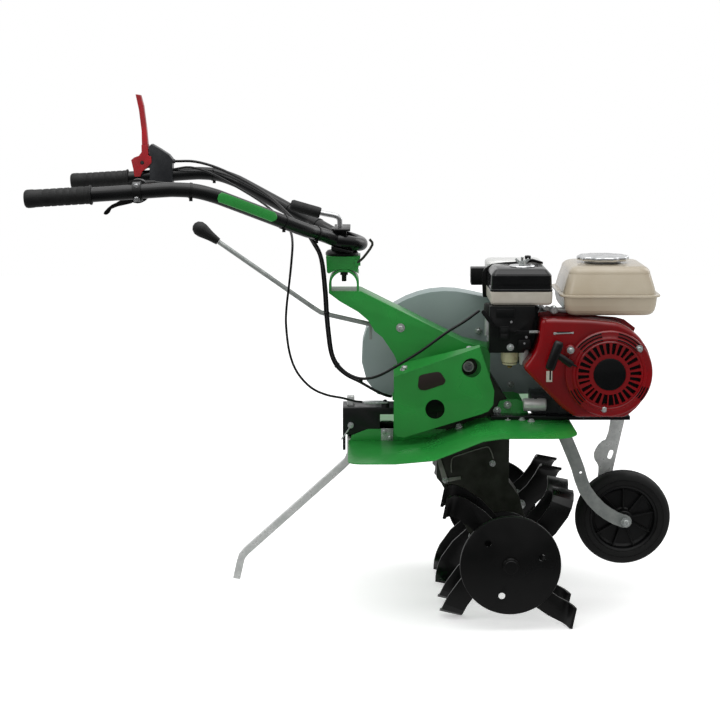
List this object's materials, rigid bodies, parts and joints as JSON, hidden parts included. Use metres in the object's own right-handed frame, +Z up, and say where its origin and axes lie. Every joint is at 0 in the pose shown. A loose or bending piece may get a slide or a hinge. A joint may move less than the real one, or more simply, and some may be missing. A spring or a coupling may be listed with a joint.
{
  "type": "garden tiller",
  "caption": "Walk-behind garden tiller: engine and belt drive over a chain case, bladed tine rotor with side discs, front wheel, drag stake and a tilting handlebar.",
  "frame": {"origin": "centre of the bounding box in plan, on the ground under the lowest tines", "axes": "+X ahead, from the grips towards the front wheel; +Y to the operator's left; +Z up"},
  "size_m": [1.3354, 0.599, 1.0821],
  "materials": {
    "green_powder_coat": "satin powder coat",
    "red_enamel": "gloss",
    "red_plastic": "gloss",
    "black_paint": "satin",
    "black_plastic": "matte",
    "black_rubber": "matte",
    "white_plastic": "matte",
    "cream_enamel": "gloss",
    "grey_paint": "satin",
    "zinc_plate": "zinc plated",
    "bright_steel": "machined",
    "cast_aluminium": "as cast",
    "grey_casting": "as cast"
  },
  "bodies": {
    "machine": {"air_cleaner_case": "white_plastic", "air_cleaner_cover": "black_plastic", "belt_guard": "grey_paint", "carburettor": "black_plastic", "chain_case_left": "grey_casting", "chain_case_right": "grey_casting", "chassis_plate": "black_paint", "clutch_cable": "black_rubber", "drive_belt": "black_rubber", "engine_block": "cast_aluminium", "fan_shroud": "red_enamel", "final_chain": "bright_steel", "fuel_tank": "cream_enamel", "hitch_bracket": "black_paint", "left_fender": "green_powder_coat", "muffler": "black_paint", "recoil_cover": "red_enamel", "reverse_cable": "black_rubber", "right_fender": "green_powder_coat", "side_cover": "green_powder_coat", "steering_column": "green_powder_coat", "throttle_cable": "black_rubber", "wheel_strut": "zinc_plate"},
    "rotor": {"rotor_shaft": "bright_steel", "right_inner_tines": "black_paint", "right_outer_tines": "black_paint", "left_inner_tines": "black_paint", "left_outer_tines": "black_paint", "right_side_disc": "black_paint", "left_side_disc": "black_paint"},
    "layshaft": {"layshaft": "bright_steel"},
    "input_shaft": {"input_shaft": "bright_steel", "driven_pulley": "grey_casting"},
    "crank": {"crankshaft": "bright_steel", "flywheel": "black_paint", "drive_pulley": "grey_casting"},
    "idler_arm": {"idler_arm": "zinc_plate"},
    "idler_pulley": {"idler_pulley": "bright_steel"},
    "wheel_arm": {"wheel_arm": "zinc_plate"},
    "wheel": {"front_wheel": "black_rubber"},
    "stake": {"drag_stake": "zinc_plate"},
    "hitch_pin": {"hitch_pin": "zinc_plate"},
    "head": {"head_cup": "green_powder_coat"},
    "handlebar": {"head_dome": "black_paint", "handlebar": "black_paint", "right_grip": "black_rubber", "left_grip": "black_rubber", "throttle_housing": "black_plastic", "clutch_housing": "black_plastic"},
    "throttle_lever": {"throttle_lever": "black_plastic"},
    "clutch_lever": {"clutch_lever": "red_plastic"},
    "clamp_lever": {"clamp_lever": "zinc_plate"},
    "gear_rod": {"gear_rod": "zinc_plate", "gear_knob": "black_plastic"},
    "starter_grip": {"starter_grip": "black_rubber"},
    "fuel_cap": {"fuel_cap": "cream_enamel"},
    "choke_lever": {"choke_lever": "zinc_plate"},
    "wing_nut": {"wing_nut": "zinc_plate"},
    "throttle_arm": {"throttle_arm": "zinc_plate"},
    "reverse_arm": {"reverse_arm": "zinc_plate"}
  },
  "joints": [
    {"name": "rotor_spin", "type": "hinge", "parent": "machine", "child": "rotor", "pos_m": [0.2981, 0, 0.13911], "axis": [0, 1, 0], "continuous": true},
    {"name": "layshaft_spin", "type": "hinge", "parent": "machine", "child": "layshaft", "pos_m": [0.21065, 0, 0.45421], "axis": [0, 1, 0], "continuous": true},
    {"name": "input_spin", "type": "hinge", "parent": "machine", "child": "input_shaft", "pos_m": [0.2221, 0, 0.51311], "axis": [0, 1, 0], "continuous": true},
    {"name": "crank_spin", "type": "hinge", "parent": "machine", "child": "crank", "pos_m": [0.5071, 0, 0.51511], "axis": [0, 1, 0], "continuous": true},
    {"name": "idler_swing", "type": "hinge", "parent": "machine", "child": "idler_arm", "pos_m": [0.4081, 0, 0.53911], "axis": [0, 1, 0], "range_deg": [-12.5, 0]},
    {"name": "idler_spin", "type": "hinge", "parent": "idler_arm", "child": "idler_pulley", "pos_m": [0.3611, 0, 0.49611], "axis": [0, 1, 0], "continuous": true},
    {"name": "wheel_swing", "type": "hinge", "parent": "machine", "child": "wheel_arm", "pos_m": [0.4201, 0, 0.38211], "axis": [0, 1, 0], "range_deg": [-30, 18]},
    {"name": "wheel_spin", "type": "hinge", "parent": "wheel_arm", "child": "wheel", "pos_m": [0.5646, 0, 0.17311], "axis": [0, 1, 0], "continuous": true},
    {"name": "stake_slide", "type": "slide", "parent": "machine", "child": "stake", "axis": [0, 0, 1], "range_m": [-0.03, 0.03]},
    {"name": "hitch_pin_slide", "type": "slide", "parent": "machine", "child": "hitch_pin", "axis": [0, -1, 0], "range_m": [0, 0.1]},
    {"name": "head_tilt", "type": "hinge", "parent": "machine", "child": "head", "pos_m": [-0.0429, 0, 0.68811], "axis": [0, 1, 0], "range_deg": [-20, 20], "deforming": ["throttle_cable", "clutch_cable", "reverse_cable"]},
    {"name": "bar_swivel", "type": "hinge", "parent": "head", "child": "handlebar", "pos_m": [-0.0474, 0, 0.74741], "axis": [0, 0, 1], "range_deg": [-30, 30]},
    {"name": "throttle_lever_turn", "type": "hinge", "parent": "handlebar", "child": "throttle_lever", "pos_m": [-0.4479, -0.238, 0.90011], "axis": [0, 1, 0], "range_deg": [-35, 15]},
    {"name": "clutch_lever_turn", "type": "hinge", "parent": "handlebar", "child": "clutch_lever", "pos_m": [-0.5019, 0.28, 0.92911], "axis": [0, 1, 0], "range_deg": [-85, 0], "stiffness_Nm_per_rad": 0.5, "springref_deg": 22.92, "deforming": ["drive_belt"]},
    {"name": "clamp_lever_turn", "type": "hinge", "parent": "handlebar", "child": "clamp_lever", "pos_m": [-0.0474, 0, 0.80741], "axis": [0, 0, 1], "range_deg": [-60, 60]},
    {"name": "gear_rod_slide", "type": "slide", "parent": "machine", "child": "gear_rod", "axis": [0.9747, 0, -0.2234], "range_m": [-0.02, 0.02]},
    {"name": "starter_pull", "type": "slide", "parent": "machine", "child": "starter_grip", "axis": [-0.8706, 0, 0.4921], "range_m": [0, 0.3], "stiffness_N_per_m": 15, "springref_m": -0.2},
    {"name": "fuel_cap_turn", "type": "hinge", "parent": "machine", "child": "fuel_cap", "pos_m": [0.5091, 0, 0.73611], "axis": [0, 0, 1], "range_deg": [0, 90]},
    {"name": "choke_turn", "type": "hinge", "parent": "machine", "child": "choke_lever", "pos_m": [0.3161, -0.11, 0.59611], "axis": [0, 1, 0], "range_deg": [-50, 0]},
    {"name": "wing_nut_turn", "type": "hinge", "parent": "machine", "child": "wing_nut", "pos_m": [0.3341, -0.034, 0.72921], "axis": [0, 0, 1], "continuous": true},
    {"name": "throttle_arm_turn", "type": "hinge", "parent": "machine", "child": "throttle_arm", "pos_m": [0.2691, -0.11, 0.61111], "axis": [0, 1, 0], "range_deg": [-21.5, 9.5]},
    {"name": "reverse_arm_turn", "type": "hinge", "parent": "machine", "child": "reverse_arm", "pos_m": [0.0451, -0.028, 0.43141], "axis": [0, 0, 1], "range_deg": [0, 25], "stiffness_Nm_per_rad": 0.05, "springref_deg": -22.92}
  ],
  "couplings": [
    {"joint": "layshaft_spin", "follows": "rotor_spin", "ratio": 3},
    {"joint": "input_spin", "follows": "rotor_spin", "ratio": -9},
    {"joint": "idler_swing", "follows": "clutch_lever_turn", "ratio": 0.14118},
    {"joint": "throttle_arm_turn", "follows": "throttle_lever_turn", "ratio": 0.6}
  ]
}
